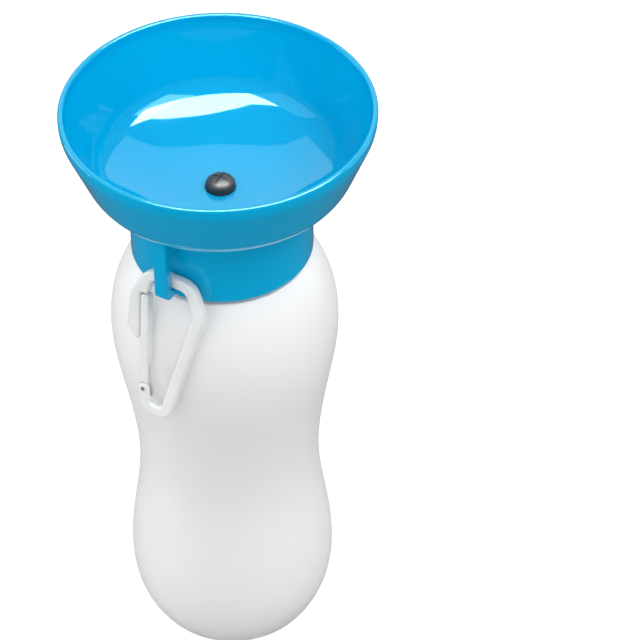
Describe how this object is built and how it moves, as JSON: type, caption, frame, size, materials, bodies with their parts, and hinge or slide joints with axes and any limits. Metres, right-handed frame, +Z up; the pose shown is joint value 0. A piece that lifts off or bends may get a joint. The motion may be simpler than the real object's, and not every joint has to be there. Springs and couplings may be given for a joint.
{
  "type": "dog travel water bottle",
  "caption": "Squeeze bottle with a drinking bowl screwed on its neck, a slit valve and dip tube inside, and a gated carabiner hanging from a hook on the collar.",
  "frame": {"origin": "centre of the bottle's base, on the surface that it stands on", "axes": "+Z up along the bottle's axis, -Y towards the hook and the carabiner, +X to the right of someone who faces the hook"},
  "size_m": [0.11, 0.11, 0.2401],
  "materials": {
    "bottle_plastic": "translucent frosted milky white",
    "bowl_plastic": "glossy blue, moulded",
    "seal_rubber": "soft milky silicone",
    "valve_rubber": "black silicone",
    "holder_plastic": "plain moulded white",
    "tube_plastic": "translucent extruded tube",
    "clip_plastic": "milky white moulded, satin",
    "steel": "plain stainless steel"
  },
  "bodies": {
    "bottle": {"bottle_body": "bottle_plastic"},
    "gasket": {"neck_gasket": "seal_rubber"},
    "cap": {"drinking_bowl": "bowl_plastic", "screw_collar": "bowl_plastic", "slit_valve": "valve_rubber", "tube_holder": "holder_plastic", "dip_tube": "tube_plastic"},
    "carabiner": {"carabiner_frame": "clip_plastic", "gate_pin": "steel"},
    "gate": {"carabiner_gate": "clip_plastic", "gate_spring": "steel"}
  },
  "joints": [
    {"name": "cap_lift", "type": "slide", "parent": "bottle", "child": "gasket", "axis": [0, 0, 1], "range_m": [0, 0.006]},
    {"name": "cap_turn", "type": "hinge", "parent": "gasket", "child": "cap", "pos_m": [0, 0, 0.19], "axis": [0, 0, 1], "range_deg": [0, 540]},
    {"name": "carabiner_swing", "type": "hinge", "parent": "cap", "child": "carabiner", "pos_m": [0, -0.03555, 0.18929], "axis": [-1, 0, 0], "range_deg": [0, 75]},
    {"name": "gate_open", "type": "hinge", "parent": "carabiner", "child": "gate", "pos_m": [-0.0059, -0.04599, 0.14408], "axis": [0, 0.9744, -0.225], "range_deg": [0, 22], "stiffness_Nm_per_rad": 0.05, "springref_deg": -17.19, "deforming": ["gate_spring"]}
  ],
  "couplings": [
    {"joint": "cap_lift", "follows": "cap_turn", "m_per_rad": 0.00063662}
  ]
}
